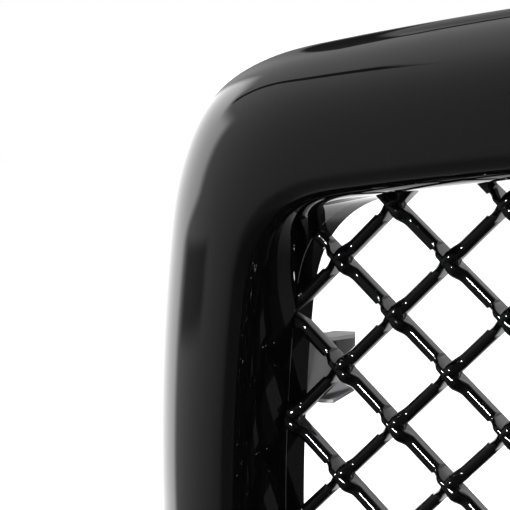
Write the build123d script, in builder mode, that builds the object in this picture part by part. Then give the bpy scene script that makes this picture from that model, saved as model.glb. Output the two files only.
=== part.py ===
from build123d import *
from math import asin, atan2, cos, degrees, radians, sin
import os

# Front grille of a pickup: a moulded surround with a diagonal mesh screwed in from behind.
# Millimetres. +X is to the right seen from the front, the front faces -Y, and +Z is up.
# The origin is the middle of the four bracket bolt holes, on the rear faces of the bracket feet.
# "Forward" is the distance in front of that plane, so forward = -Y.

# ---- Driving dimensions ----

# Surround, seen from the front
HALF_WIDTH = 444.0
WIDEST_Z = 9.5
TOP_CORNER = [(8.2, None), (27.6, 124.0), (61.2, 54.0), (82.1, 142.0), (90.0, 1000.0)]
LOW_CORNER = [(7.0, None), (28.0, 120.0), (62.0, 60.0), (84.4, 130.0), (90.0, 1000.0)]

# Surround, front to back
SHELL_REAR = -4.0
CROWN = 79.0
WALL = 3.0
FACE_ROUND = 54.0
LIP_ROUND = 10.0

# Opening: its wall leans outwards from the rim's rear edge to the lip
OPENING_WIDEST_Z = -20.0
OPENING_SIDE_RADIUS = 1000.0
OPENING_TOP_ARCH_END = 7.0
OPENING_LOW_ARCH_END = 5.0
OPENING_TOP_CORNER_END = 82.6
OPENING_LOW_CORNER_END = 86.9
OPENING_CORNER_END_CHANGE = -0.2
OPENING_TOP_CORNER_RADIUS = 50.0
OPENING_TOP_CORNER_CHANGE = -3.0
OPENING_LOW_CORNER_RADIUS = 45.0
RIM_REAR = 31.0
LIP_FORWARD = 58.0
RIM_HALF_WIDTH = 359.2
LIP_HALF_WIDTH = 369.0
COLLAR_WALL = 2.5

# Mesh
MESH_FRONT = 40.0
MESH_PITCH_X = 60.0
MESH_PITCH_Z = 56.0
MESH_CROSSING_Z = 36.0
BARS_EACH_SIDE = 9
BEAD_WIDTH = 6.6
BEAD_DEPTH = 4.5
FIN_WIDTH = 4.4
MESH_DEPTH = 12.0
FLANGE_REAR = 27.5
FLANGE_FRONT = 30.0
FLANGE_REACH = 18.0

# Screws, washers and their bosses
BOSS_RADIUS = 4.5
PILOT_RADIUS = 2.0
PILOT_DEPTH = 14.0
SHANK_RADIUS = 1.95
SHANK_TIP = 40.0
CLEARANCE_RADIUS = 2.3
HEAD_RADIUS = 4.2
HEAD_HEIGHT = 2.6
HEAD_ROUND = 1.2
DRIVE_WIDTH = 1.0
DRIVE_LENGTH = 4.4
DRIVE_DEPTH = 1.4
WASHER_RADIUS = 5.5
WASHER_THICK = 1.0
SCREW_OFFSET = 10.5

# Side brackets
BRACKET_BOLT_X = 378.0
BRACKET_BOLT_Z = 60.0
BOLT_RADIUS = 3.5
BRACKET_GAUGE = 2.0
BRACKET_HALF_HEIGHT = 17.0
BRACKET_WALL_X = 355.5
BRACKET_BASE_X = 375.0
BRACKET_EAR_X = 340.0
BRACKET_EAR_LEAD = 5.0
BRACKET_EAR_REAR = -10.0
BRACKET_EAR_RISE = 5.0
BRACKET_FOOT_X = 393.0
BRACKET_FOOT_CORNER = 6.0
BRACKET_SCREW_SPACING = 22.0

# Top tabs
TAB_SPACING = 210.0
TAB_WIDTH = 26.0
TAB_GAUGE = 2.0
TAB_LEVEL = 214.0
TAB_REAR = -24.0
TAB_HOLE_FORWARD = -12.0
TAB_HOLE_RADIUS = 3.5
TAB_FOOT = 6.0
TAB_CORNER = 6.0

# Lower tongues with spring clips, locating pegs with grommets
TONGUE_SPACING = 180.0
TONGUE_WIDTH = 24.0
TONGUE_REAR = -22.0
TONGUE_ROOT = 6.0
TONGUE_INSET = 0.6
CLIP_WIDTH = 18.0
CLIP_LENGTH = 13.0
CLIP_GAUGE = 0.8
CLIP_GAP = 0.05
PEG_X = 180.0
PEG_Z = -158.0
PEG_RADIUS = 6.0
PEG_REAR = -26.0
PEG_FRONT = 71.5
PEG_CHAMFER = 1.5
GROMMET_RADIUS = 9.0
GROMMET_FLANGE_RADIUS = 12.0
GROMMET_FLANGE = 3.0
GROMMET_LENGTH = 13.0
GROMMET_REAR = -20.0
GROMMET_GAP = 0.02

# Seal and foam
SEAL_REACH_X = 300.0
FOAM_THICK = 5.0
FOAM_WIDTH = 8.0
FOAM_ROUND = 1.5
SIDE_FOAM_LENGTH = 52.0
LOWER_FOAM_LENGTH = 110.0
SEAL_BASE_THICK = 2.0
SEAL_BASE_REAR = -2.0
SEAL_BASE_WIDTH = 14.0
SEAL_BULB_RADIUS = 4.5
SEAL_BULB_WALL = 1.5

WIDEST_ANGLE = 90.0  # the outline's normal at its widest point
CORNER_MIDDLE = 45.0  # the normal in the middle of an opening's corner
LIFT = 1.0  # how far a cutting tool runs past the face it leaves by


# ---- Outlines as chains of tangent arcs ----
# An angle in a chain is that of the outline's outward normal, counted from the vertical centre line.

def quarter(half_width, corner):
    """The arcs (end angle, radius) of one corner, with the arch radius that reaches half_width."""
    first_angle = corner[0][0]
    reach = 0.0
    for (start, _), (end, radius) in zip(corner, corner[1:]):
        reach += radius * (sin(radians(end)) - sin(radians(start)))
    arch = (half_width - reach) / sin(radians(first_angle))
    return [(first_angle, arch)] + corner[1:]


def quarter_height(arcs):
    """Height of a corner chain, from the centre line's end to its widest point."""
    height = 0.0
    start = 0.0
    for end, radius in arcs:
        height += radius * (cos(radians(start)) - cos(radians(end)))
        start = end
    return height


def chain_arcs(half_width, widest_z, top, low):
    """Centre, radius, start angle and sweep of every arc of the left half, from the top centre down."""
    upper = quarter(half_width, top)
    lower = quarter(half_width, low)
    x = 0.0
    z = widest_z + quarter_height(upper)
    angle = 0.0
    steps = [(end - begin, radius) for (begin, _), (end, radius) in zip([(0.0, 0.0)] + upper, upper)]
    steps += [(end - begin, radius) for (begin, _), (end, radius) in zip([(0.0, 0.0)] + lower, lower)][::-1]
    arcs = []
    for sweep, radius in steps:
        centre_x = x + radius * sin(radians(angle))
        centre_z = z - radius * cos(radians(angle))
        arcs.append((centre_x, centre_z, radius, WIDEST_ANGLE + angle, sweep))
        angle += sweep
        x = centre_x - radius * sin(radians(angle))
        z = centre_z + radius * cos(radians(angle))
    return arcs


def outline(arcs, grow=0.0):
    """The closed outline as a flat sketch, moved outwards by grow."""
    with BuildSketch(Plane.XY) as face:
        with BuildLine():
            for centre_x, centre_z, radius, start, sweep in arcs:
                CenterArc((centre_x, centre_z), radius + grow, start, sweep)
                CenterArc((-centre_x, centre_z), radius + grow, 2 * WIDEST_ANGLE - start, -sweep)
        make_face()
    return face.sketch


def edge_height(arcs, x, grow=0.0, low=False):
    """Height of the outline above or below the point x on its arch."""
    centre_x, centre_z, radius, _, _ = arcs[-1] if low else arcs[0]
    rise = ((radius + grow) ** 2 - (x - centre_x) ** 2) ** 0.5
    return centre_z - rise if low else centre_z + rise


def opening_arcs(forward):
    """The opening's outline at a distance in front of the bracket feet."""
    t = (forward - RIM_REAR) / (LIP_FORWARD - RIM_REAR)
    half_width = RIM_HALF_WIDTH + (LIP_HALF_WIDTH - RIM_HALF_WIDTH) * t
    top_end = OPENING_TOP_CORNER_END + OPENING_CORNER_END_CHANGE * t
    low_end = OPENING_LOW_CORNER_END + OPENING_CORNER_END_CHANGE * t
    top_radius = OPENING_TOP_CORNER_RADIUS + OPENING_TOP_CORNER_CHANGE * t
    side = (WIDEST_ANGLE, OPENING_SIDE_RADIUS)
    top = [(OPENING_TOP_ARCH_END, None), (top_end, top_radius), side]
    low = [(OPENING_LOW_ARCH_END, None), (low_end, OPENING_LOW_CORNER_RADIUS), side]
    return chain_arcs(half_width, OPENING_WIDEST_Z, top, low)


def front_plane(forward):
    """A plane parallel to the face: its x is +X, its y is +Z and its normal points forward."""
    return Plane.XZ.offset(forward)


OUTLINE = chain_arcs(HALF_WIDTH, WIDEST_Z, TOP_CORNER, LOW_CORNER)
RIM = opening_arcs(RIM_REAR)

# ---- Places worked out from the dimensions ----

TAB_XS = [TAB_SPACING * (i - 1.5) for i in range(4)]
TONGUE_XS = [TONGUE_SPACING * (i - 1.5) for i in range(4)]
INSERT_TOP_XS = [-210.0, 0.0, 210.0]
INSERT_LOW_XS = [-210.0, -70.0, 70.0, 210.0]
SIDE_SCREW_X = RIM_HALF_WIDTH + SCREW_OFFSET - 1.0
SIDES = (-1, 1)


def corner_place(arc, side, up):
    """The point outside the middle of a corner arc, SCREW_OFFSET from it."""
    centre_x, centre_z, radius, _, _ = arc
    reach = (radius + SCREW_OFFSET) * cos(radians(CORNER_MIDDLE))
    return side * (reach - centre_x), centre_z + up * reach


tab_screw_places = [(x, edge_height(RIM, x, SCREW_OFFSET)) for x in TAB_XS]
insert_screw_places = [(x, edge_height(RIM, x, SCREW_OFFSET)) for x in INSERT_TOP_XS]
insert_screw_places += [(x, edge_height(RIM, x, SCREW_OFFSET, low=True)) for x in INSERT_LOW_XS]
insert_screw_places += [corner_place(RIM[1], side, 1) for side in SIDES]
insert_screw_places += [corner_place(RIM[-2], side, -1) for side in SIDES]
bracket_screw_places = [
    (side * SIDE_SCREW_X, level * BRACKET_BOLT_Z + step * BRACKET_SCREW_SPACING / 2)
    for side in SIDES
    for level in SIDES
    for step in SIDES
]
boss_places = tab_screw_places + insert_screw_places + bracket_screw_places

# The bars of one slant cross the row of crossings at these places, and reach across the opening
BAR_ANGLE = degrees(atan2(MESH_PITCH_Z, MESH_PITCH_X))
BAR_XS = [MESH_PITCH_X * i for i in range(-BARS_EACH_SIDE, BARS_EACH_SIDE + 1)]
BAR_LENGTH = 520.0

tongue_run = TONGUE_ROOT - TONGUE_REAR
tongue_middle = (TONGUE_ROOT + TONGUE_REAR) / 2


def tongue_floor(x):
    """Height of a lower tongue's underside, just inside the shell's bottom wall."""
    return edge_height(OUTLINE, x, -TONGUE_INSET, low=True)


os.makedirs("parts", exist_ok=True)


def save(piece, name):
    piece.part.label = name
    export_step(piece.part, f"parts/{name}.step")


# ---- Surround shell ----

# The hollow behind the face: an inner skin's volume, less the collar round the opening and the bosses
with BuildPart() as hollow:
    with BuildSketch(front_plane(SHELL_REAR - LIFT)):
        add(outline(OUTLINE, -WALL))
    extrude(amount=CROWN - WALL - SHELL_REAR + LIFT)
    fillet(hollow.faces().sort_by(Axis.Y)[0].edges(), FACE_ROUND - WALL)
    with BuildSketch(front_plane(MESH_FRONT)):
        add(outline(opening_arcs(MESH_FRONT), COLLAR_WALL))
    with BuildSketch(front_plane(CROWN + LIFT)):
        add(outline(opening_arcs(CROWN + LIFT), COLLAR_WALL))
    loft(ruled=True, mode=Mode.SUBTRACT)
    with BuildSketch(front_plane(FLANGE_FRONT)):
        with Locations(*boss_places):
            Circle(BOSS_RADIUS)
    extrude(amount=CROWN - FLANGE_FRONT, mode=Mode.SUBTRACT)

with BuildPart() as surround_shell:
    with BuildSketch(front_plane(SHELL_REAR)):
        add(outline(OUTLINE))
    extrude(amount=CROWN - SHELL_REAR)
    fillet(surround_shell.faces().sort_by(Axis.Y)[0].edges(), FACE_ROUND)
    with BuildSketch(front_plane(SHELL_REAR - LIFT)):
        add(outline(opening_arcs(SHELL_REAR - LIFT)))
    with BuildSketch(front_plane(CROWN + LIFT)):
        add(outline(opening_arcs(CROWN + LIFT)))
    loft(ruled=True, mode=Mode.SUBTRACT)
    front_face = surround_shell.faces().filter_by(GeomType.PLANE).sort_by(Axis.Y)[0]
    fillet(front_face.inner_wires().edges(), LIP_ROUND)
    add(hollow.part, mode=Mode.SUBTRACT)
    with BuildSketch(front_plane(FLANGE_FRONT - LIFT)):
        with Locations(*boss_places):
            Circle(PILOT_RADIUS)
    extrude(amount=PILOT_DEPTH + LIFT, mode=Mode.SUBTRACT)
    for x in TONGUE_XS:
        with Locations((x, -tongue_middle, tongue_floor(x) + WALL / 2)):
            Box(TONGUE_WIDTH, tongue_run, WALL)
    with BuildSketch(front_plane(PEG_REAR)):
        with Locations((-PEG_X, PEG_Z), (PEG_X, PEG_Z)):
            Circle(PEG_RADIUS)
    extrude(amount=PEG_FRONT - PEG_REAR)
    peg_ends = surround_shell.faces().filter_by(GeomType.PLANE).sort_by(Axis.Y)[-2:]
    chamfer(peg_ends.edges(), PEG_CHAMFER)
save(surround_shell, "surround_shell")

# ---- Mesh insert ----

# The space inside the rim's outer wall, which cuts the bars to length
with BuildPart() as rim_plug:
    for forward in (FLANGE_REAR, MESH_FRONT):
        with BuildSketch(front_plane(forward)):
            add(outline(opening_arcs(forward), COLLAR_WALL))
    loft(ruled=True)

with BuildPart() as rim_bore:
    for forward in (FLANGE_REAR - LIFT, MESH_FRONT + LIFT):
        with BuildSketch(front_plane(forward)):
            add(outline(opening_arcs(forward)))
    loft(ruled=True)

with BuildPart() as lattice:
    layers = [(MESH_FRONT, BEAD_WIDTH, BEAD_DEPTH)]
    layers += [(MESH_FRONT - BEAD_DEPTH, FIN_WIDTH, MESH_DEPTH - BEAD_DEPTH)]
    for layer_front, bar_width, bar_depth in layers:
        with BuildSketch(front_plane(layer_front)):
            for slant in (BAR_ANGLE, -BAR_ANGLE):
                with Locations(*[(x, MESH_CROSSING_Z) for x in BAR_XS]):
                    Rectangle(BAR_LENGTH, bar_width, rotation=slant)
        extrude(amount=-bar_depth)
    add(rim_plug.part, mode=Mode.INTERSECT)

with BuildPart() as mesh_insert:
    add(rim_plug.part)
    with BuildSketch(front_plane(FLANGE_REAR)):
        add(outline(opening_arcs(FLANGE_REAR), FLANGE_REACH))
    extrude(amount=FLANGE_FRONT - FLANGE_REAR)
    add(rim_bore.part, mode=Mode.SUBTRACT)
    add(lattice.part)
    with BuildSketch(front_plane(FLANGE_REAR - LIFT)):
        with Locations(*boss_places):
            Circle(CLEARANCE_RADIUS)
    extrude(amount=FLANGE_FRONT - FLANGE_REAR + 2 * LIFT, mode=Mode.SUBTRACT)
save(mesh_insert, "mesh_insert")

# ---- Side brackets ----


def side_bracket(side, level):
    """A pocket pressed from sheet: base on the flange, wall, rear plate, two ears and a bolted foot."""
    middle_z = level * BRACKET_BOLT_Z
    top = middle_z + BRACKET_HALF_HEIGHT
    bottom = middle_z - BRACKET_HALF_HEIGHT
    height = 2 * BRACKET_HALF_HEIGHT
    wall_x = BRACKET_WALL_X + BRACKET_GAUGE / 2
    base_width = BRACKET_BASE_X - BRACKET_WALL_X
    foot_width = BRACKET_FOOT_X - BRACKET_WALL_X
    with BuildPart() as bracket:
        base_x = BRACKET_WALL_X + base_width / 2
        with Locations((side * base_x, BRACKET_GAUGE / 2 - FLANGE_REAR, middle_z)):
            Box(base_width, BRACKET_GAUGE, height)
        wall_run = FLANGE_REAR - BRACKET_EAR_REAR
        with Locations((side * wall_x, wall_run / 2 - FLANGE_REAR, middle_z)):
            Box(BRACKET_GAUGE, wall_run, height)
        with Locations((side * (BRACKET_WALL_X + foot_width / 2), -BRACKET_GAUGE / 2, middle_z)):
            Box(foot_width, BRACKET_GAUGE, height)
        foot_corners = bracket.edges().filter_by(Axis.Y).group_by(Axis.X)[0 if side < 0 else -1]
        fillet(foot_corners, BRACKET_FOOT_CORNER)
        ear_outline = [
            (side * (BRACKET_WALL_X + BRACKET_GAUGE), -FLANGE_REAR),
            (side * (BRACKET_EAR_X + BRACKET_EAR_LEAD), -FLANGE_REAR),
            (side * BRACKET_EAR_X, -BRACKET_GAUGE),
            (side * (BRACKET_EAR_X + BRACKET_EAR_LEAD), -BRACKET_EAR_REAR),
            (side * (BRACKET_WALL_X + BRACKET_GAUGE), -BRACKET_EAR_REAR),
        ]
        with BuildSketch(Plane.XY.offset(top - BRACKET_GAUGE)):
            Polygon(*ear_outline, align=None)
        extrude(amount=BRACKET_GAUGE)
        with BuildSketch(Plane.YZ.offset(side * BRACKET_EAR_X)):
            with BuildLine():
                Polyline(
                    (-FLANGE_REAR, bottom),
                    (-BRACKET_EAR_REAR, bottom + BRACKET_EAR_RISE),
                    (-BRACKET_EAR_REAR, bottom + BRACKET_EAR_RISE + BRACKET_GAUGE),
                    (-FLANGE_REAR, bottom + BRACKET_GAUGE),
                    close=True,
                )
            make_face()
        extrude(amount=side * (BRACKET_WALL_X + BRACKET_GAUGE - BRACKET_EAR_X))
        plate_low = bottom + BRACKET_EAR_RISE
        plate_inner = BRACKET_EAR_X + BRACKET_EAR_LEAD
        plate_x = side * (plate_inner + BRACKET_WALL_X + BRACKET_GAUGE) / 2
        plate_y = -BRACKET_EAR_REAR - BRACKET_GAUGE / 2
        with Locations((plate_x, plate_y, (top + plate_low) / 2)):
            Box(BRACKET_WALL_X + BRACKET_GAUGE - plate_inner, BRACKET_GAUGE, top - plate_low)
        with BuildSketch(front_plane(-LIFT)):
            with Locations((side * BRACKET_BOLT_X, middle_z)):
                Circle(BOLT_RADIUS)
        extrude(amount=BRACKET_GAUGE + 2 * LIFT, mode=Mode.SUBTRACT)
        with BuildSketch(front_plane(FLANGE_REAR - BRACKET_GAUGE - LIFT)):
            for step in SIDES:
                with Locations((side * SIDE_SCREW_X, middle_z + step * BRACKET_SCREW_SPACING / 2)):
                    Circle(CLEARANCE_RADIUS)
        extrude(amount=BRACKET_GAUGE + 2 * LIFT, mode=Mode.SUBTRACT)
    return bracket


for side, side_name in zip(SIDES, ("left", "right")):
    for level, level_name in zip(SIDES, ("lower", "upper")):
        save(side_bracket(side, level), f"side_bracket_{level_name}_{side_name}")

# ---- Top tabs ----


def top_tab(x):
    """An L of strip: a leg screwed to the insert's flange, and a level leg to the rear with a hole."""
    foot = edge_height(RIM, x, SCREW_OFFSET) - TAB_FOOT
    leg_run = FLANGE_REAR - TAB_REAR
    with BuildPart() as tab:
        with Locations((x, TAB_GAUGE / 2 - FLANGE_REAR, (TAB_LEVEL + foot) / 2)):
            Box(TAB_WIDTH, TAB_GAUGE, TAB_LEVEL - foot)
        with Locations((x, leg_run / 2 - FLANGE_REAR, TAB_LEVEL - TAB_GAUGE / 2)):
            Box(TAB_WIDTH, leg_run, TAB_GAUGE)
        bend = tab.edges().filter_by(Axis.X).group_by(Axis.Y)[0].sort_by(Axis.Z)[-1]
        fillet(bend, TAB_GAUGE)
        rear_corners = tab.edges().filter_by(Axis.Z).group_by(Axis.Y)[-1]
        fillet(rear_corners, TAB_CORNER)
        with BuildSketch(Plane.XY.offset(TAB_LEVEL - TAB_GAUGE - LIFT)):
            with Locations((x, -TAB_HOLE_FORWARD)):
                Circle(TAB_HOLE_RADIUS)
        extrude(amount=TAB_GAUGE + 2 * LIFT, mode=Mode.SUBTRACT)
        with BuildSketch(front_plane(FLANGE_REAR - TAB_GAUGE - LIFT)):
            with Locations((x, foot + TAB_FOOT)):
                Circle(CLEARANCE_RADIUS)
        extrude(amount=TAB_GAUGE + 2 * LIFT, mode=Mode.SUBTRACT)
    return tab


for x, tab_name in zip(TAB_XS, ("outer_left", "inner_left", "inner_right", "outer_right")):
    save(top_tab(x), f"top_tab_{tab_name}")

# ---- Screws and washers ----


def screw_group(places, seat):
    """Pan-head screws driven forward, their heads bearing at the distance seat."""
    with BuildPart() as group:
        with BuildSketch(front_plane(seat)):
            with Locations(*places):
                Circle(HEAD_RADIUS)
        extrude(amount=-HEAD_HEIGHT)
        fillet(group.edges().group_by(Axis.Y)[-1], HEAD_ROUND)
        with BuildSketch(front_plane(seat)):
            with Locations(*places):
                Circle(SHANK_RADIUS)
        extrude(amount=SHANK_TIP - seat)
        with BuildSketch(front_plane(seat - HEAD_HEIGHT)):
            with Locations(*places):
                Rectangle(DRIVE_LENGTH, DRIVE_WIDTH)
                Rectangle(DRIVE_WIDTH, DRIVE_LENGTH)
        extrude(amount=DRIVE_DEPTH, mode=Mode.SUBTRACT)
    return group


def washer_group(places, rear):
    """Flat washers whose rear faces lie at the distance rear."""
    with BuildPart() as group:
        with BuildSketch(front_plane(rear)):
            with Locations(*places):
                Circle(WASHER_RADIUS)
                Circle(CLEARANCE_RADIUS, mode=Mode.SUBTRACT)
        extrude(amount=WASHER_THICK)
    return group


bracket_seat = FLANGE_REAR - BRACKET_GAUGE - WASHER_THICK
tab_seat = FLANGE_REAR - TAB_GAUGE - WASHER_THICK
save(screw_group(insert_screw_places, FLANGE_REAR), "insert_screws")
save(screw_group(bracket_screw_places, bracket_seat), "bracket_screws")
save(washer_group(bracket_screw_places, bracket_seat), "bracket_washers")
save(screw_group(tab_screw_places, tab_seat), "tab_screws")
save(washer_group(tab_screw_places, tab_seat), "tab_washers")

# ---- Spring clips on the lower tongues ----

with BuildPart() as lower_spring_clips:
    for x in TONGUE_XS:
        clip_middle = TONGUE_REAR - CLIP_GAP - CLIP_GAUGE + CLIP_LENGTH / 2
        slot_height = WALL + 2 * CLIP_GAP
        with Locations((x, -clip_middle, tongue_floor(x) + WALL / 2)):
            Box(CLIP_WIDTH, CLIP_LENGTH, slot_height + 2 * CLIP_GAUGE)
        with Locations((x, -clip_middle - CLIP_GAUGE, tongue_floor(x) + WALL / 2)):
            Box(CLIP_WIDTH + LIFT, CLIP_LENGTH, slot_height, mode=Mode.SUBTRACT)
save(lower_spring_clips, "lower_spring_clips")

# ---- Rubber grommets on the locating pegs ----


def locating_grommet(side):
    """A sleeve on the peg with a collar at its front end."""
    with BuildPart() as grommet:
        with BuildSketch(front_plane(GROMMET_REAR)):
            with Locations((side * PEG_X, PEG_Z)):
                Circle(GROMMET_RADIUS)
        extrude(amount=GROMMET_LENGTH)
        with BuildSketch(front_plane(GROMMET_REAR + GROMMET_LENGTH - GROMMET_FLANGE)):
            with Locations((side * PEG_X, PEG_Z)):
                Circle(GROMMET_FLANGE_RADIUS)
        extrude(amount=GROMMET_FLANGE)
        with BuildSketch(front_plane(GROMMET_REAR - LIFT)):
            with Locations((side * PEG_X, PEG_Z)):
                Circle(PEG_RADIUS + GROMMET_GAP)
        extrude(amount=GROMMET_LENGTH + 2 * LIFT, mode=Mode.SUBTRACT)
    return grommet


for side, side_name in zip(SIDES, ("left", "right")):
    save(locating_grommet(side), f"locating_grommet_{side_name}")

# ---- Bulb seal inside the top rear edge ----

with BuildPart() as top_edge_seal:
    arch_x, arch_z, arch_radius, _, _ = OUTLINE[0]
    seal_top = arch_z + arch_radius - WALL
    base_middle = SEAL_BASE_REAR + SEAL_BASE_WIDTH / 2
    bulb_z = seal_top - SEAL_BASE_THICK - SEAL_BULB_RADIUS + LIFT
    with BuildSketch(Plane.YZ):
        with Locations((-base_middle, seal_top - SEAL_BASE_THICK / 2)):
            Rectangle(SEAL_BASE_WIDTH, SEAL_BASE_THICK)
        with Locations((-base_middle, bulb_z)):
            Circle(SEAL_BULB_RADIUS)
            Circle(SEAL_BULB_RADIUS - SEAL_BULB_WALL, mode=Mode.SUBTRACT)
    half_sweep = degrees(asin(SEAL_REACH_X / arch_radius))
    revolve(axis=Axis((arch_x, 0, arch_z), (0, 1, 0)), revolution_arc=half_sweep)
    mirror(about=Plane.YZ)
save(top_edge_seal, "top_edge_seal")

# ---- Foam strips on the insert's flange ----


def foam_strip(x, z, length_x, length_z):
    with BuildPart() as strip:
        with Locations((x, FOAM_THICK / 2 - FLANGE_REAR, z)):
            Box(length_x, FOAM_THICK, length_z)
        fillet(strip.faces().sort_by(Axis.Y)[-1].edges(), FOAM_ROUND)
    return strip


for side, side_name in zip(SIDES, ("left", "right")):
    save(foam_strip(side * SIDE_SCREW_X, 0.0, FOAM_WIDTH, SIDE_FOAM_LENGTH), f"side_foam_{side_name}")
lower_foam_z = edge_height(RIM, 0.0, SCREW_OFFSET, low=True)
save(foam_strip(0.0, lower_foam_z, LOWER_FOAM_LENGTH, FOAM_WIDTH), "lower_foam_strip")
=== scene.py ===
import bpy
import numpy as np
from mathutils import Matrix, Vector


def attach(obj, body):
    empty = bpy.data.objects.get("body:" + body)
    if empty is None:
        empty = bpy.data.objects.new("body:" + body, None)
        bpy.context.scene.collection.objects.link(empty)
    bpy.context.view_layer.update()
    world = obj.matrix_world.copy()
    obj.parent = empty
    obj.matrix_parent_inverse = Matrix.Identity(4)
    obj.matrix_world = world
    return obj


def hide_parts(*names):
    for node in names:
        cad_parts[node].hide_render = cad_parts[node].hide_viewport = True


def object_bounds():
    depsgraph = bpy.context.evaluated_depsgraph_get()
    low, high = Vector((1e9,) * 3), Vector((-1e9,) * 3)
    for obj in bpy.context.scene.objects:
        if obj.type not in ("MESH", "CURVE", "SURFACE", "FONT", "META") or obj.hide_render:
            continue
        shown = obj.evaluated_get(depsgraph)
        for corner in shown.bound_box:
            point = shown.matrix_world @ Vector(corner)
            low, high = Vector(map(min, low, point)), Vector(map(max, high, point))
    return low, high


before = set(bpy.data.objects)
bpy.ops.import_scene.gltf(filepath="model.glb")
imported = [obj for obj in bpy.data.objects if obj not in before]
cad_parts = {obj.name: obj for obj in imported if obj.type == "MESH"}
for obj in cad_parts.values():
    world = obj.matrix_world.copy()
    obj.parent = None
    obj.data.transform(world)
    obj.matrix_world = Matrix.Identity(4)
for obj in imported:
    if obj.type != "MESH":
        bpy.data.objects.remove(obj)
cad_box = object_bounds()

# ---- Camera, light and floor ----
# A studio set-up: a long lens in front of the grille's middle, turned to its upper left corner, a pure
# white background, soft light from above and behind, a dim room in front and one small bright lamp.

CAMERA_PLACE = (0.0580, -0.8231, 0.1747)
CAMERA_TURN = 29.15
CAMERA_TILT = 3.44
CAMERA_ROLL = -0.68
LENS = 120.8

lens = bpy.data.cameras.new("camera")
lens.lens = LENS
lens.clip_start = 0.02
lens.clip_end = 100.0
camera = bpy.data.objects.new("camera", lens)
bpy.context.scene.collection.objects.link(camera)
camera.matrix_world = (
    Matrix.Translation(CAMERA_PLACE)
    @ Matrix.Rotation(np.radians(CAMERA_TURN), 4, "Z")
    @ Matrix.Rotation(np.radians(90.0 - CAMERA_TILT), 4, "X")
    @ Matrix.Rotation(np.radians(CAMERA_ROLL), 4, "Z")
)
bpy.context.scene.camera = camera
bpy.context.scene.view_settings.view_transform = "Standard"


class Socket:
    """A node's output, on which +, - and * add the Math nodes that work them out."""

    def __init__(self, tree, out):
        self.tree = tree
        self.out = out

    def math(self, operation, *values):
        return node(self.tree, "ShaderNodeMath", {"operation": operation}, dict(enumerate(values)))

    def __add__(self, other):
        return self.math("ADD", self, other)

    __radd__ = __add__

    def __sub__(self, other):
        return self.math("SUBTRACT", self, other)

    def __rsub__(self, other):
        return self.math("SUBTRACT", other, self)

    def __mul__(self, other):
        return self.math("MULTIPLY", self, other)

    __rmul__ = __mul__

    def size(self):
        """The value without its sign."""
        return self.math("ABSOLUTE", self)

    def clamp(self, low, high):
        """0 below low, 1 above high, and a smooth step between."""
        settings = {"interpolation_type": "SMOOTHSTEP"}
        inputs = {"Value": self, "From Min": low, "From Max": high}
        return node(self.tree, "ShaderNodeMapRange", settings, inputs)


def node(tree, kind, settings=None, inputs=None, output=0):
    """Adds a node of a kind, with its settings first and then its inputs' values or links."""
    made = tree.nodes.new(kind)
    for name, value in (settings or {}).items():
        setattr(made, name, value)
    for name, value in (inputs or {}).items():
        if isinstance(value, Socket):
            tree.links.new(value.out, made.inputs[name])
        else:
            made.inputs[name].default_value = value
    return Socket(tree, made.outputs[output])


def room_level(side, rise):
    """Brightness of the room by direction: dim in front, brighter to the left, dimmer below the horizon.

    A stand at the left and the dark corner behind the left side take some of it away.
    """
    to_right, sinking = side * -1.0, rise * -1.0
    level = DIM_RIGHT + (DIM_FRONT - DIM_RIGHT) * side.clamp(-50.0, -5.0) + LIT_LEFT * side.clamp(10.0, 95.0)
    level = level + FAR_RIGHT * to_right.clamp(85.0, 105.0)
    behind_right = DIM_FRONT + LIT_LEFT - DIM_RIGHT - FAR_RIGHT
    level = level + behind_right * to_right.clamp(112.0, 180.0)
    level = level * (1.0 - FLOOR_SHADE * sinking.clamp(-2.0, 32.0))
    stand = side.clamp(52.0, 60.0) * (1.0 - side.clamp(80.0, 86.0))
    stand = stand * rise.clamp(-5.0, -3.0) * (1.0 - rise.clamp(0.0, 3.0))
    corner = side.clamp(128.0, 148.0) * (1.0 - side.clamp(158.0, 172.0))
    corner = corner * (1.0 - rise.clamp(36.0, 50.0)) * rise.clamp(-5.0, 5.0)
    return level * (1.0 - STAND_SHADE * stand) * (1.0 - CORNER_SHADE * corner)


def backdrop_level(side, rise):
    """Brightness of the lit backdrop and of the white floor below it, and how much of them shows.

    The backdrop reaches from the left side round the back; its top edge falls towards the back, and the
    stretch straight behind is only as bright as the floor.
    """
    to_right, sinking = side * -1.0, rise * -1.0
    near_edge = 84.0 - 12.0 * rise.clamp(0.0, 10.0)
    top = 28.0 + 8.0 * side.clamp(90.0, 105.0) - 30.0 * side.clamp(112.0, 142.0)
    shown = (side - near_edge).clamp(0.0, 9.0) + to_right.clamp(160.0, 175.0)
    shown = shown * (1.0 - (rise - top).clamp(0.0, 8.0)) * rise.clamp(-62.0, -50.0)
    straight = side.clamp(140.0, 165.0) + to_right.clamp(160.0, 175.0)
    wall = BACKDROP + (FLOOR_BEHIND - BACKDROP) * sinking.clamp(22.0, 35.0)
    return wall + (FLOOR_BEHIND - wall) * straight, shown


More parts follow.
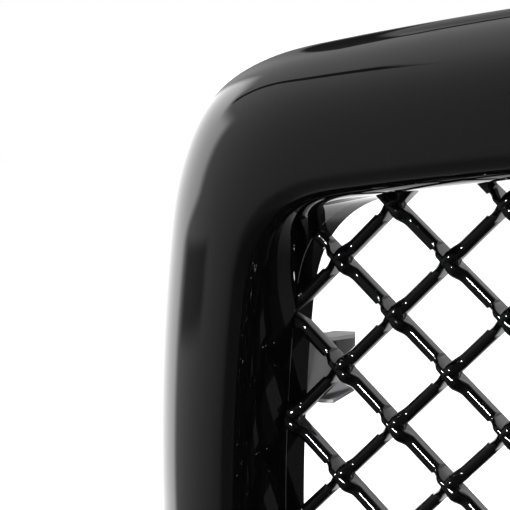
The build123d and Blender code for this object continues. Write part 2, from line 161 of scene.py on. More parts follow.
def gaps(side, rise, left, ahead, up):
    """The share of light left by the dark gaps between the lamps: a slanting, a level and an upright one.

    The slanting gap lies on one plane through the room, the level one at one height above the horizon, and
    the upright one leans as it rises; each takes most of the light near its middle line.
    """
    slanting = ahead + SLANT_LEFT * left + SLANT_UP * up - SLANT_DISTANCE
    slanting = 1.0 - slanting.size().clamp(0.018, 0.028)
    slanting = slanting * up.clamp(0.57, 0.62) * (1.0 - up.clamp(0.852, 0.862))
    flat = (1.0 - (rise - LEVEL_GAP_RISE).size().clamp(0.9, 1.6)) * side.clamp(137.5, 139.0)
    upright = side - UPRIGHT_SIDE + UPRIGHT_LEAN * (rise - UPRIGHT_RISE)
    upright = 1.0 - upright.size().clamp(2.0, 3.2)
    upright = upright * rise.clamp(17.0, 20.0) * (1.0 - rise.clamp(42.5, 44.0))
    left_over = (1.0 - SLANT_SHADE * slanting) * (1.0 - LEVEL_SHADE * flat)
    return left_over * (1.0 - UPRIGHT_SHADE * upright)


def studio_world():
    """The studio as the gloss plastic sees it, by direction; the camera itself sees plain white.

    side is the angle in degrees from straight ahead towards the left, and rise the angle above the horizon.
    """
    world = bpy.data.worlds.new("studio")
    bpy.context.scene.world = world
    world.use_nodes = True
    tree = world.node_tree
    tree.nodes.clear()
    direction = node(tree, "ShaderNodeTexCoord", output="Generated")
    parts = tree.nodes.new("ShaderNodeSeparateXYZ")
    tree.links.new(direction.out, parts.inputs[0])
    right, away, up = (Socket(tree, parts.outputs[i]) for i in range(3))
    left, ahead = right * -1.0, away * -1.0
    side = left.math("ARCTAN2", left, ahead) * DEGREES
    rise = up.math("ARCSINE", up) * DEGREES
    room = room_level(side, rise)
    backdrop, shown = backdrop_level(side, rise)
    level = (room + (backdrop - room) * shown) * gaps(side, rise, left, ahead, up)
    seen_by_plastic = node(tree, "ShaderNodeBackground", None, {"Color": WHITE, "Strength": level})
    plain = node(tree, "ShaderNodeBackground", None, {"Color": WHITE, "Strength": 1.0})
    by_camera = node(tree, "ShaderNodeLightPath", output="Is Camera Ray")
    both = node(tree, "ShaderNodeMixShader", None, {0: by_camera, 1: seen_by_plastic, 2: plain})
    out = tree.nodes.new("ShaderNodeOutputWorld")
    tree.links.new(both.out, out.inputs["Surface"])


WHITE = (1.0, 1.0, 1.0, 1.0)
DEGREES = 180.0 / np.pi
DIM_FRONT = 0.32
DIM_RIGHT = 0.12
FAR_RIGHT = 0.10
LIT_LEFT = 0.68
FLOOR_SHADE = 0.58
STAND_SHADE = 0.65
CORNER_SHADE = 0.7
BACKDROP = 3.4
FLOOR_BEHIND = 1.0
SLANT_LEFT = 1.87
SLANT_UP = 1.374
SLANT_DISTANCE = 2.24
SLANT_SHADE = 0.9
LEVEL_GAP_RISE = 43.1
LEVEL_SHADE = 0.85
UPRIGHT_SIDE = 146.4
UPRIGHT_RISE = 27.0
UPRIGHT_LEAN = 0.61
UPRIGHT_SHADE = 0.9
studio_world()


def area_lamp(name, place, aim, size, turn, watts):
    """A flat lamp at a place, facing aim, and turned by an angle about the line between them."""
    light = bpy.data.lights.new(name, "AREA")
    light.shape = "RECTANGLE"
    light.size, light.size_y = size
    light.energy = watts
    lamp = bpy.data.objects.new(name, light)
    bpy.context.scene.collection.objects.link(lamp)
    place = np.array(place)
    back = place - np.array(aim)
    back = back / np.linalg.norm(back)
    side = np.cross((0.0, 0.0, 1.0), back)
    side = side / np.linalg.norm(side)
    columns = np.column_stack([side, np.cross(back, side), back, place])
    facing = Matrix(np.vstack([columns, (0, 0, 0, 1)]))
    lamp.matrix_world = facing @ Matrix.Rotation(np.radians(turn), 4, "Z")


STROBE_PLACE = (-0.019, -2.05, 0.898)
STROBE_AIM = (-0.28, -0.04, 0.0)
STROBE_SIZE = (0.36, 0.13)
STROBE_TURN = -43.0
STROBE_WATTS = 150.0
area_lamp("strobe", STROBE_PLACE, STROBE_AIM, STROBE_SIZE, STROBE_TURN, STROBE_WATTS)

FLOOR_LIGHT_STRENGTH = 3.4
FLOOR_LIGHT_ANGLE = 0.6
floor_light = bpy.data.lights.new("floor_light", "SUN")
floor_light.energy = FLOOR_LIGHT_STRENGTH
floor_light.angle = FLOOR_LIGHT_ANGLE
floor_lamp = bpy.data.objects.new("floor_light", floor_light)
floor_lamp.visible_glossy = False
bpy.context.scene.collection.objects.link(floor_lamp)

FLOOR_DROP = 0.004
FLOOR_HALF = 60.0
floor_level = cad_box[0][2] - FLOOR_DROP
floor_mesh = bpy.data.meshes.new("floor")
floor_corners = [(-FLOOR_HALF, -FLOOR_HALF), (FLOOR_HALF, -FLOOR_HALF)]
floor_corners += [(-x, -y) for x, y in floor_corners]
floor_mesh.from_pydata([(x, y, floor_level) for x, y in floor_corners], [], [(0, 1, 2, 3)])
floor = bpy.data.objects.new("floor", floor_mesh)
bpy.context.scene.collection.objects.link(floor)
floor_paint = bpy.data.materials.new("floor_paint")
floor_paint.use_nodes = True
floor_shader = floor_paint.node_tree.nodes["Principled BSDF"]
floor_shader.inputs["Base Color"].default_value = (0.9, 0.9, 0.9, 1.0)
floor_shader.inputs["Roughness"].default_value = 0.6
floor_mesh.materials.append(floor_paint)
floor.visible_glossy = False

# ---- Surround shell ----
# One moulding in gloss-black ABS: a softly rounded face, a wall that leans into the opening and a plain
# flank, 3 mm thick all over and open at the back.

HALF_WIDTH = 0.444
WIDEST_Z = 0.0095
OUTER_TOP = [(8.2, None), (27.6, 0.124), (61.2, 0.054), (82.1, 0.142), (90.0, 1.000)]
OUTER_LOW = [(7.0, None), (28.0, 0.120), (62.0, 0.060), (84.4, 0.130), (90.0, 1.000)]
OPENING_WIDEST_Z = -0.020
OPENING_SIDE_RADIUS = 1.000
RIM_ARCH_END = 7.0
RIM_TOP_END = 82.6
RIM_TOP_RADIUS = 0.050
RIM_FLOOR_END = 5.0
RIM_LOW_END = 86.9
RIM_LOW_RADIUS = 0.045
TOP_END_LOSS = 0.08
TOP_RADIUS_LOSS = 0.003
LOW_END_LOSS = 0.2
RIM_REAR = 0.031
RIM_HALF_WIDTH = 0.3592
LIP_FORWARD = 0.058
LIP_HALF_WIDTH = 0.3690
SHELL_REAR = -0.004
FLANK_END = 0.016
CROWN = 0.079
CROWN_SHARE = 0.84
SHELL_WALL = 0.003
MESH_FRONT = 0.040
BLEND_LENGTH = 0.030
CURVE_STEP = 0.0005
EDGE_HOLD = 0.0002


def half_outline(half_width, widest_z, top, low):
    """The left half of an outline, from the top centre down to the bottom centre, with smooth curvature.

    The outline starts as arcs, each given by the angle of the outward normal where it ends and its
    radius; the first radius is the one that reaches half_width. Curvature along the length is then
    averaged over BLEND_LENGTH, and the outline is the integral of its direction. Returns the normal's
    angle from straight up, in radians, and the x and z there.
    """
    def chain(corner):
        ends = np.radians([end for end, _ in corner])
        starts = np.concatenate([[0.0], ends[:-1]])
        radii = np.array([radius or 0.0 for _, radius in corner])
        reach = np.sum(radii * (np.sin(ends) - np.sin(starts)))
        radii[0] = (half_width - reach) / np.sin(ends[0])
        return radii, ends - starts

    def rise(corner_radii, corner_turns):
        ends = np.cumsum(corner_turns)
        return np.sum(corner_radii * (np.cos(ends - corner_turns) - np.cos(ends)))

    top_radii, top_turns = chain(top)
    low_radii, low_turns = chain(low)
    radii = np.concatenate([top_radii, low_radii[::-1]])
    turns = np.concatenate([top_turns, low_turns[::-1]])
    ends = np.cumsum(radii * turns)
    count = int(ends[-1] / CURVE_STEP)
    along = (np.arange(count) + 0.5) * ends[-1] / count
    curvature = 1.0 / radii[np.searchsorted(ends, along)]
    window = int(BLEND_LENGTH / CURVE_STEP) // 2
    mirrored = np.concatenate([curvature[window - 1::-1], curvature, curvature[:-window - 1:-1]])
    totals = np.cumsum(np.concatenate([[0.0], mirrored]))
    curvature = (totals[2 * window:] - totals[:-2 * window])[:count] / (2 * window)
    step = ends[-1] / count
    angle = np.concatenate([[0.0], np.cumsum(curvature) * step])
    angle *= np.pi / angle[-1]
    middle = (angle[1:] + angle[:-1]) / 2
    x = -np.concatenate([[0.0], np.cumsum(np.cos(middle)) * step])
    drop = np.concatenate([[0.0], np.cumsum(np.sin(middle)) * step])
    top_height, low_height = rise(top_radii, top_turns), rise(low_radii, low_turns)
    drop *= (top_height + low_height) / drop[-1]
    return angle, x * half_width / -x.min(), widest_z + top_height - drop


def at_angles(half, angles):
    """Points (x, z) of a whole outline where its outward normal has these angles, from 0 to 2 pi."""
    angle, x, z = half
    folded = np.where(angles > np.pi, 2 * np.pi - angles, angles)
    side = np.where(angles > np.pi, -1.0, 1.0)
    closed_x = x - x[-1] * angle / np.pi
    return np.stack([side * np.interp(folded, angle, closed_x), np.interp(folded, angle, z)], -1)


def opening_edge(t):
    """The left half of the opening's outline: t is 0 at RIM_REAR and 1 at the lip."""
    half_width = RIM_HALF_WIDTH + (LIP_HALF_WIDTH - RIM_HALF_WIDTH) * t
    top_end = RIM_TOP_END - TOP_END_LOSS * t
    low_end = RIM_LOW_END - LOW_END_LOSS * t
    top_radius = RIM_TOP_RADIUS - TOP_RADIUS_LOSS * t
    top = [(RIM_ARCH_END, None), (top_end, top_radius), (90.0, OPENING_SIDE_RADIUS)]
    low = [(RIM_FLOOR_END, None), (low_end, RIM_LOW_RADIUS), (90.0, OPENING_SIDE_RADIUS)]
    return half_outline(half_width, OPENING_WIDEST_Z, top, low)


def opening(forward):
    """The opening's outline at a distance in front of the bracket feet; its wall is straight."""
    t = (forward - RIM_REAR) / (LIP_FORWARD - RIM_REAR)
    return RIM_POINTS + (LIP_POINTS - RIM_POINTS) * t


def even_angles(count):
    """Normal angles round the whole outline that are evenly spaced along the middle of the face."""
    fine = np.linspace(0.0, 2 * np.pi, 20001)
    middle = (at_angles(OUTER, fine) + at_angles(LIP_EDGE, fine)) / 2
    length = np.concatenate([[0.0], np.cumsum(np.linalg.norm(np.diff(middle, axis=0), axis=1))])
    return np.interp(np.arange(count) * length[-1] / count, length, fine)


OUTER = half_outline(HALF_WIDTH, WIDEST_Z, OUTER_TOP, OUTER_LOW)
LIP_EDGE = opening_edge(1.0)
ROUND = even_angles(640)
OUTER_POINTS = at_angles(OUTER, ROUND)
RIM_POINTS = at_angles(opening_edge(0.0), ROUND)
LIP_POINTS = at_angles(LIP_EDGE, ROUND)
NORMAL = np.stack([-np.sin(ROUND), np.cos(ROUND)], -1)


def place(flat, forward):
    """Points (x, z) at a distance forward of the bracket feet, as points in space."""
    return np.stack([flat[..., 0], np.broadcast_to(-np.asarray(forward), flat.shape[:-1]), flat[..., 1]], -1)


def grid_normals(grid):
    """Unit normals of a grid that is closed round its first axis."""
    along = np.roll(grid, -1, 0) - np.roll(grid, 1, 0)
    across = np.gradient(grid, axis=1)
    normals = np.cross(along, across)
    return normals / np.linalg.norm(normals, axis=-1, keepdims=True)


def grid_mesh(name, grids, wrap=(True, True)):
    """A mesh from grids of points, each (rows, columns, 3), with quads between neighbours, faces outwards.

    wrap says whether the rows and the columns close on themselves. Rows that stay open get a flat cap at
    each end. The volume inside, from the quads' signed volumes, says which way the faces have to turn.
    """
    quads, starts, ends = [], [], []
    count = 0
    for grid in grids:
        rows, columns, _ = grid.shape
        index = count + np.arange(rows * columns).reshape(rows, columns)
        down, right = np.roll(index, -1, 0), np.roll(index, -1, 1)
        cell = np.stack([index, down, np.roll(down, -1, 1), right], -1)
        cell = cell[: rows if wrap[0] else rows - 1, : columns if wrap[1] else columns - 1]
        quads.append(cell.reshape(-1, 4))
        starts.append(index[0])
        ends.append(index[-1])
        count += rows * columns
    points = np.concatenate([grid.reshape(-1, 3) for grid in grids])
    quads = np.concatenate(quads)
    a, b, c, d = np.moveaxis(points[quads], 1, 0)
    volume = (np.cross(b - a, c - a) * a).sum() + (np.cross(c - a, d - a) * a).sum()
    turn = 1 if volume > 0 else -1
    caps = []
    if not wrap[0]:
        caps = [cap[::-turn].tolist() for cap in starts] + [cap[::turn].tolist() for cap in ends]
    mesh = bpy.data.meshes.new(name)
    mesh.from_pydata(points.tolist(), [], quads[:, ::turn].tolist() + caps)
    mesh.polygons.foreach_set("use_smooth", np.arange(len(mesh.polygons)) < len(quads))
    mesh.update()
    piece = bpy.data.objects.new(name, mesh)
    bpy.context.scene.collection.objects.link(piece)
    return piece


def edge_roll(start, corner, end, count):
    """Points of a small round from start to end that would meet at corner: a quadratic curve."""
    t = np.linspace(0.0, 1.0, count)[:, None, None]
    return (1 - t) ** 2 * start + 2 * t * (1 - t) * corner + t ** 2 * end


def shell_section():
    """The shell's outer skin, from the rear edge of the flank to the rear edge of the opening's wall.

    Across the face a point is the blend of the outline and the lip: from the flank, a quarter ellipse to
    the crown, then a roll to the lip, and then the leaning wall straight back.
    """
    outer, lip = OUTER_POINTS, LIP_POINTS
    crown = outer + (lip - outer) * CROWN_SHARE
    rows = []
    for forward in [SHELL_REAR, *np.linspace(SHELL_REAR + EDGE_HOLD, FLANK_END, 5)[:-1]]:
        rows.append(place(outer, forward))
    for turn in np.linspace(0.0, np.pi / 2, 26)[:-1]:
        share = CROWN_SHARE * (1.0 - np.cos(turn))
        rows.append(place(outer + (lip - outer) * share, FLANK_END + (CROWN - FLANK_END) * np.sin(turn)))
    start = place(crown, CROWN)
    corner = place(opening(CROWN), CROWN)
    end = place(lip, LIP_FORWARD)
    rows.extend(edge_roll(start, corner, end, 16)[:-1])
    for forward in [*np.linspace(LIP_FORWARD, MESH_FRONT + EDGE_HOLD, 6), MESH_FRONT]:
        rows.append(place(opening(forward), forward))
    return np.stack(rows, 1)


def close_shell(skin, thickness):
    """Closes an outer skin into a wall: the skin, then the same skin moved inwards by thickness."""
    inner = skin - grid_normals(skin) * thickness
    inner[:, 0, 1] = skin[:, 0, 1]
    inner[:, -1, 1] = skin[:, -1, 1]
    return np.concatenate([skin, inner[:, ::-1]], 1)


def gloss_black(name, waviness, refraction):
    """Gloss-black moulded plastic: near-black, smooth, with the faint waviness of a moulded skin."""
    material = bpy.data.materials.new(name)
    material.use_nodes = True
    tree = material.node_tree
    shader = tree.nodes["Principled BSDF"]
    place_on = node(tree, "ShaderNodeTexCoord", output="Object")
    broad = node(tree, "ShaderNodeTexNoise", None, {"Vector": place_on, "Scale": 14.0, "Detail": 1.0})
    fine = node(tree, "ShaderNodeTexNoise", None, {"Vector": place_on, "Scale": 260.0, "Detail": 2.0})
    haze = node(tree, "ShaderNodeTexNoise", None, {"Vector": place_on, "Scale": 40.0, "Detail": 3.0})
    height = broad * waviness + fine * (waviness * FINE_SHARE)
    bump = node(tree, "ShaderNodeBump", None, {"Height": height, "Distance": 0.001, "Strength": 1.0})
    tree.links.new(bump.out, shader.inputs["Normal"])
    tree.links.new((haze * GLOSS_ROUGHNESS + GLOSS_ROUGHNESS).out, shader.inputs["Roughness"])
    shader.inputs["Base Color"].default_value = GLOSS_BASE
    shader.inputs["IOR"].default_value = refraction
    return material


FINE_SHARE = 0.02
GLOSS_ROUGHNESS = 0.012
GLOSS_BASE = (0.0005, 0.0005, 0.0006, 1.0)
SHELL_WAVINESS = 0.25
SHELL_REFRACTION = 1.48
shell = grid_mesh("surround", [close_shell(shell_section(), SHELL_WALL)])
shell.data.materials.append(gloss_black("surround_gloss_black", SHELL_WAVINESS, SHELL_REFRACTION))
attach(shell, "root")
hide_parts("surround_shell")

# ---- Mesh insert: the bars ----
# Moulded with its rim in gloss-black ABS. Each bar is a rod in front of a thin fin; at a crossing both rods
# neck down, swing forward and swell again as they leave, one over the other like woven wire.

PITCH_X = 0.060
PITCH_Z = 0.056
CROSSING_Z = 0.0356
SEGMENT = np.hypot(PITCH_X, PITCH_Z) / 2
BEAD_HALF = 0.0033
FIN_HALF = 0.0022
FIN_REAR = 0.028
FIN_ROUND = 0.0006
BAR_NUMBERS = range(-9, 10)
RIM_WALL = 0.0025
STATIONS = np.array([
    -19.2, -15.5, -12.0, -11.0, -10.6, -10.2, -9.6, -8.4, -7.2, -6.0, -4.5, -3.0, -1.5,
    0.0, 1.5, 3.0, 4.5, 6.0, 7.5, 9.0, 10.5, 12.0, 13.5, 16.5,
]) / 1000.0

# Places along a bar from a crossing, and the half width and the lift there, in millimetres
FALLING = {
    "width": ([-11.0, -10.2, -3.0, 0.0, 6.0, 9.0, 13.0], [3.3, 1.6, 1.6, 2.2, 3.5, 3.5, 3.3]),
    "lift": ([-10.2, -4.0, 6.0, 11.5], [0.0, 5.3, 5.3, 0.0]),
}
RISING = {
    "width": ([-11.0, -10.2, -2.0, 0.0, 6.0, 12.0], [3.3, 2.2, 2.2, 2.7, 3.6, 3.3]),
    "lift": ([-9.5, 0.5, 3.0, 11.0], [0.0, 5.6, 5.6, 0.0]),
}


def eased(places, steps):
    """Values joined by smooth steps: v + (w - v)(3t^2 - 2t^3) between neighbours v and w."""
    knots, values = np.array(steps[0]) / 1000.0, np.array(steps[1]) / 1000.0
    clipped = np.clip(places, knots[0], knots[-1])
    at = np.clip(np.searchsorted(knots, clipped, side="right") - 1, 0, len(knots) - 2)
    t = (clipped - knots[at]) / (knots[at + 1] - knots[at])
    return values[at] + (values[at + 1] - values[at]) * t * t * (3 - 2 * t)


def bar_section(half, lift):
    """The closed section of a bar, as (offset, forward) by station: a half round in front, a fin behind."""
    turn = np.linspace(-np.pi / 2, np.pi / 2, 9)
    fin = np.full((len(half), 1), FIN_HALF)
    half = half[:, None]
    rod_offset = half * np.sin(turn)
    rod_forward = MESH_FRONT + lift[:, None] - half + half * np.cos(turn)
    fin_offset = fin + np.array([0.0, 0.0, -FIN_ROUND])
    fin_forward = np.broadcast_to(FIN_REAR + np.array([2 * FIN_ROUND, FIN_ROUND, 0.0]), fin_offset.shape)
    offset = np.concatenate([rod_offset, fin_offset, -fin_offset[:, ::-1]], 1)
    forward = np.concatenate([rod_forward, fin_forward, fin_forward[:, ::-1]], 1)
    return offset, forward


def crossings(edge, start, run, offset):
    """Where a line crosses a closed outline, as distances along the line, for each sideways offset."""
    side = np.array([-run[1], run[0]])
    along = (edge - start) @ run
    away = (edge - start) @ side
    found = []
    for shift in offset:
        before, after = away - shift, np.roll(away, -1) - shift
        cut = np.nonzero(before * after < 0)[0]
        share = before[cut] / (before[cut] - after[cut])
        found.append(along[cut] + share * (np.roll(along, -1)[cut] - along[cut]))
    return found


def bars(name, slope, shape):
    """One set of parallel bars, each ending inside the rim's wall."""
    wall_middle = opening((FIN_REAR + MESH_FRONT) / 2) + NORMAL * RIM_WALL / 2
    run = np.array([PITCH_X / 2, slope * PITCH_Z / 2]) / SEGMENT
    side = np.array([-run[1], run[0]])
    made = []
    for number in BAR_NUMBERS:
        start = np.array([PITCH_X * number, CROSSING_Z])
        end_half, end_lift = np.array([BEAD_HALF]), np.array([0.0])
        end_offset = bar_section(end_half, end_lift)[0][0]
        ends = crossings(wall_middle, start, run, end_offset)
        if any(len(pair) != 2 for pair in ends):
            continue
        first, last = np.array([min(pair) for pair in ends]), np.array([max(pair) for pair in ends])
        steps = (np.arange(-12, 13)[:, None] * SEGMENT + STATIONS).ravel()
        inside = steps[(steps > first.max() + END_CLEAR) & (steps < last.min() - END_CLEAR)]
        if len(inside) < 2:
            continue
        places = np.concatenate([[inside[0] - END_CLEAR], inside, [inside[-1] + END_CLEAR]])
        phase = (places + SEGMENT / 2) % SEGMENT - SEGMENT / 2
        offset, forward = bar_section(eased(phase, shape["width"]), eased(phase, shape["lift"]))
        along = np.broadcast_to(places[:, None], offset.shape).copy()
        along[0], along[-1] = first, last
        flat = start + along[..., None] * run + offset[..., None] * side
        made.append(place(flat, forward))
    return grid_mesh(name, made, wrap=(False, True))


END_CLEAR = 0.0004
MESH_WAVINESS = 0.15
MESH_REFRACTION = 1.36
mesh_black = gloss_black("mesh_gloss_black", MESH_WAVINESS, MESH_REFRACTION)
for bar_name, slope, shape in (("falling_bars", -1, FALLING), ("rising_bars", 1, RISING)):
    bar_set = bars(bar_name, slope, shape)
    bar_set.data.materials.append(mesh_black)
    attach(bar_set, "root")
    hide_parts("mesh_insert")

# ---- Mesh insert: the webs at the crossings ----
# To the right of each crossing the mould fills the angle between the two bars with a flat web, stepped
# along its middle where the two halves of the tool meet.

WEB_REACH = 0.0053
WEB_REAR = 0.0370
WEB_SET_BACK = 0.0018
WEB_STEP = 0.0006
STEP_LENGTH = 0.0005
STEP_SLANT = 0.1
WEB_LIFT_SHARE = 0.55
TIP_DROP = 0.0006
TIP_START = 0.98


def webs(name):
    """Wedges between the bars' centre lines, from a crossing to WEB_REACH right of it."""
    edge = opening(MESH_FRONT)
    x = np.array([0.0, 0.15, 0.3, 0.45, 0.6, 0.75, 0.88, 0.97, 1.0]) * WEB_REACH
    spread = np.tan(np.arctan2(PITCH_Z, PITCH_X)) * x[:, None]
    across = np.linspace(-1.0, 1.0, 13)
    slant = np.concatenate([across, [0.97, 0.0, -0.97]])
    z = spread * slant
    lift = eased(x * SEGMENT / (PITCH_X / 2), RISING["lift"])[:, None]
    seam = WEB_STEP * np.tanh((z[:, :13] - STEP_SLANT * x[:, None]) / STEP_LENGTH)
    drop = TIP_DROP * (x[:, None] > TIP_START * WEB_REACH)
    front = MESH_FRONT + WEB_LIFT_SHARE * lift - WEB_SET_BACK + seam - drop
    rear = np.full((len(x), 3), WEB_REAR)
    forward = np.concatenate([front, rear], 1)
    made = []
    for column in range(-13, 14):
        for row in range(-6, 7):
            if (column + row) % 2:
                continue
            centre = np.array([column * PITCH_X / 2, CROSSING_Z + row * PITCH_Z / 2])
            corner = centre + np.array([WEB_REACH, 0.0])
            outside = ((corner - edge) * NORMAL).sum(-1).max() > RIM_WALL
            before = ((centre - edge) * NORMAL).sum(-1).max() > RIM_WALL
            if outside or before:
                continue
            flat = centre + np.stack([np.broadcast_to(x[:, None], z.shape), z], -1)
            made.append(place(flat, forward))
    return grid_mesh(name, made, wrap=(False, True))


web_set = webs("crossing_webs")
web_set.data.materials.append(mesh_black)
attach(web_set, "root")
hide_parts("mesh_insert")

# ---- Mesh insert: the rim and its flange ----
# The rim carries the shell's wall on behind the bars' front. A flat flange turns outwards from its rear
# edge, and the screws go through it into the shell's bosses.

FLANGE_REAR = 0.0275
FLANGE_FRONT = 0.030
FLANGE_REACH = 0.018
RIM_EDGE = 0.0003
SEAM_EDGE = 0.00002


def swept_ring(name, profile):
    """A ring round the opening: a closed profile of (outwards, forward, round) corners, slightly rounded."""
    corners, rounds = np.array(profile)[:, :2], np.array(profile)[:, 2]
    ring = []
    neighbours = zip(np.roll(corners, 1, 0), corners, np.roll(corners, -1, 0), rounds)
    for before, corner, after, edge_round in neighbours:
        enter = (before - corner) / np.linalg.norm(before - corner)
        leave = (after - corner) / np.linalg.norm(after - corner)
        near = edge_round * np.array([3.0, 1.0])
        ring += [corner + enter * near[0], corner + enter * near[1]]
        ring += [corner + (enter + leave) * edge_round * 0.3]
        ring += [corner + leave * near[1], corner + leave * near[0]]
    rows = []
    for outwards, forward in ring:
        rows.append(place(opening(forward) + NORMAL * outwards, forward))
    return grid_mesh(name, [np.stack(rows, 1)])


rim_profile = [
    (0.0, MESH_FRONT, SEAM_EDGE), (0.0, FLANGE_REAR, RIM_EDGE), (FLANGE_REACH, FLANGE_REAR, RIM_EDGE),
    (FLANGE_REACH, FLANGE_FRONT, RIM_EDGE), (RIM_WALL, FLANGE_FRONT, RIM_EDGE),
    (RIM_WALL, MESH_FRONT, RIM_EDGE),
]
rim = swept_ring("rim_and_flange", rim_profile)
rim.data.materials.append(mesh_black)
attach(rim, "root")
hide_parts("mesh_insert")

# ---- Surround shell: screw bosses, lower tongues and locating pegs ----
# Moulded in one with the shell and in the same plastic. The bosses stand in front of the flange and take
# its screws; the tongues and the round pegs run to the rear from the bottom wall.

SCREW_OFFSET = 0.0105
BOSS_RADIUS = 0.0045
BOSS_FRONT = 0.0430
SIDE_SCREW_X = RIM_HALF_WIDTH + SCREW_OFFSET - 0.001
BRACKET_BOLT_Z = 0.060
BRACKET_SCREW_SPACING = 0.022
ARCH_SCREW_XS = (-0.315, -0.210, -0.105, 0.0, 0.105, 0.210, 0.315)
LOW_SCREW_XS = (-0.210, -0.070, 0.070, 0.210)
TONGUE_XS = (-0.270, -0.090, 0.090, 0.270)
TONGUE_SIZE = (0.024, 0.028, 0.003)
TONGUE_MIDDLE = 0.008
TONGUE_INSET = 0.0006
PEG_PLACE = (0.180, -0.158)
PEG_RADIUS = 0.006
PEG_REAR = -0.026
PEG_FRONT = 0.0715
PEG_CHAMFER = 0.0015
TURNED_SIDES = 32


def turned(name, places, profile):
    """Solids of revolution about front-to-back axes at places (x, z): a profile of (radius, forward)."""
    turn = np.arange(TURNED_SIDES) * 2 * np.pi / TURNED_SIDES
    radius, forward = np.array(profile).T
    round_x, round_z = radius[:, None] * np.cos(turn), radius[:, None] * np.sin(turn)
    depth = np.broadcast_to(-forward[:, None], round_x.shape)
    solids = [np.stack([round_x + x, depth, round_z + z], -1) for x, z in places]
    return grid_mesh(name, solids, (False, True))


def outline_height(x, grow, low=False):
    """Height of the rim's rear outline, moved outwards by grow, above or below a place x."""
    points = RIM_POINTS + NORMAL * grow
    half = NORMAL[:, 1] < 0 if low else NORMAL[:, 1] > 0
    order = np.argsort(points[half][:, 0])
    return np.interp(x, points[half][order, 0], points[half][order, 1])


def boss_places():
    """Places (x, z) of every screw: above and below the opening, in its corners and at the brackets."""
    places = [(x, outline_height(x, SCREW_OFFSET)) for x in ARCH_SCREW_XS]
    places += [(x, outline_height(x, SCREW_OFFSET, low=True)) for x in LOW_SCREW_XS]
    for angle in np.radians([45.0, 135.0, 225.0, 315.0]):
        at = np.argmin(np.abs(ROUND - angle))
        places.append(tuple(RIM_POINTS[at] + NORMAL[at] * SCREW_OFFSET))
    for side in (-1, 1):
        for level in (-1, 1):
            for step in (-1, 1):
                height = level * BRACKET_BOLT_Z + step * BRACKET_SCREW_SPACING / 2
                places.append((side * SIDE_SCREW_X, height))
    return places


boss_profile = [(BOSS_RADIUS, FLANGE_FRONT), (BOSS_RADIUS, BOSS_FRONT)]
bosses = turned("screw_bosses", boss_places(), boss_profile)
peg_profile = [
    (PEG_RADIUS - PEG_CHAMFER, PEG_REAR), (PEG_RADIUS, PEG_REAR + PEG_CHAMFER),
    (PEG_RADIUS, PEG_FRONT - PEG_CHAMFER), (PEG_RADIUS - PEG_CHAMFER, PEG_FRONT),
]
pegs = turned("locating_pegs", [(-PEG_PLACE[0], PEG_PLACE[1]), PEG_PLACE], peg_profile)
tongue_grids = []
outer_low = OUTER_POINTS[np.abs(ROUND - np.pi) < 1.2]
outer_low = outer_low[np.argsort(outer_low[:, 0])]
for x in TONGUE_XS:
    floor_z = np.interp(x, outer_low[:, 0], outer_low[:, 1]) + TONGUE_INSET
    across, depth, thick = TONGUE_SIZE
    ring = np.array([(-across / 2, 0.0), (-across / 2, thick), (across / 2, thick), (across / 2, 0.0)])
    ring += (x, floor_z)
    ends = (TONGUE_MIDDLE - depth / 2, TONGUE_MIDDLE + depth / 2)
    tongue_grids.append(np.stack([np.insert(ring, 1, y, axis=1) for y in ends]))
tongues = grid_mesh("lower_tongues", tongue_grids, (False, True))
for moulded in (bosses, pegs, tongues):
    moulded.data.materials.append(shell.data.materials[0])
    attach(moulded, "root")
    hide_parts("surround_shell")
tongues.data.polygons.foreach_set("use_smooth", np.zeros(len(tongues.data.polygons), dtype=bool))

# ---- Brackets, tabs, screws, washers, clips, grommets, seal and foam ----
# The brackets are pressed from coated sheet and the tabs from black powder-coated strip; the screws and
# washers are zinc-plated, the clips phosphated spring steel, the grommets and the seal rubber and the pads
# open-cell foam. All are bolted, clipped, pushed or stuck on, and all keep their CAD shapes.


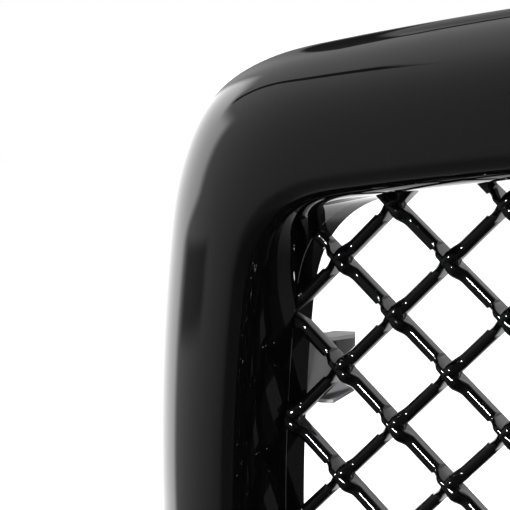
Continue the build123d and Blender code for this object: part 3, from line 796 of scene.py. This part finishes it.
def worn_metal(name, colour, roughness, spread, metallic, bump):
    """Plated or coated sheet: a base colour with soft blotches, uneven roughness and a fine grain."""
    material = bpy.data.materials.new(name)
    material.use_nodes = True
    tree = material.node_tree
    shader = tree.nodes["Principled BSDF"]
    place_on = node(tree, "ShaderNodeTexCoord", output="Object")
    blotches = node(tree, "ShaderNodeTexNoise", None, {"Vector": place_on, "Scale": 90.0, "Detail": 4.0})
    grain = node(tree, "ShaderNodeTexNoise", None, {"Vector": place_on, "Scale": 1400.0, "Detail": 2.0})
    shade = 1.0 + (blotches - 0.5) * spread
    tint = node(tree, "ShaderNodeCombineColor", None, {i: shade * colour[i] for i in range(3)})
    tree.links.new(tint.out, shader.inputs["Base Color"])
    tree.links.new((roughness * (0.75 + 0.5 * blotches)).out, shader.inputs["Roughness"])
    relief = node(tree, "ShaderNodeBump", None, {"Height": grain, "Distance": bump, "Strength": 1.0})
    tree.links.new(relief.out, shader.inputs["Normal"])
    shader.inputs["Metallic"].default_value = metallic
    return material


FINISHES = [
    ("bracket_zinc", (0.115, 0.115, 0.118), 0.7, 0.25, 0.0, 0.00002, ["side_bracket_"]),
    ("tab_powder_coat", (0.012, 0.012, 0.013), 0.45, 0.3, 0.0, 0.00006, ["top_tab_"]),
    ("screw_zinc", (0.60, 0.61, 0.64), 0.30, 0.2, 1.0, 0.00001, ["_screws", "_washers"]),
    ("clip_phosphate", (0.10, 0.10, 0.105), 0.5, 0.4, 1.0, 0.00003, ["_clips"]),
    ("grommet_rubber", (0.014, 0.014, 0.014), 0.75, 0.3, 0.0, 0.00005, ["_grommet_"]),
    ("seal_rubber", (0.017, 0.017, 0.017), 0.7, 0.3, 0.0, 0.00005, ["_seal"]),
    ("foam_open_cell", (0.030, 0.030, 0.032), 0.95, 0.6, 0.0, 0.00040, ["_foam"]),
]
for finish, colour, roughness, spread, metallic, bump, words in FINISHES:
    made_finish = worn_metal(finish, colour, roughness, spread, metallic, bump)
    for name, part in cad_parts.items():
        if any(word in name for word in words):
            for index in range(len(part.data.materials)):
                part.data.materials[index] = made_finish
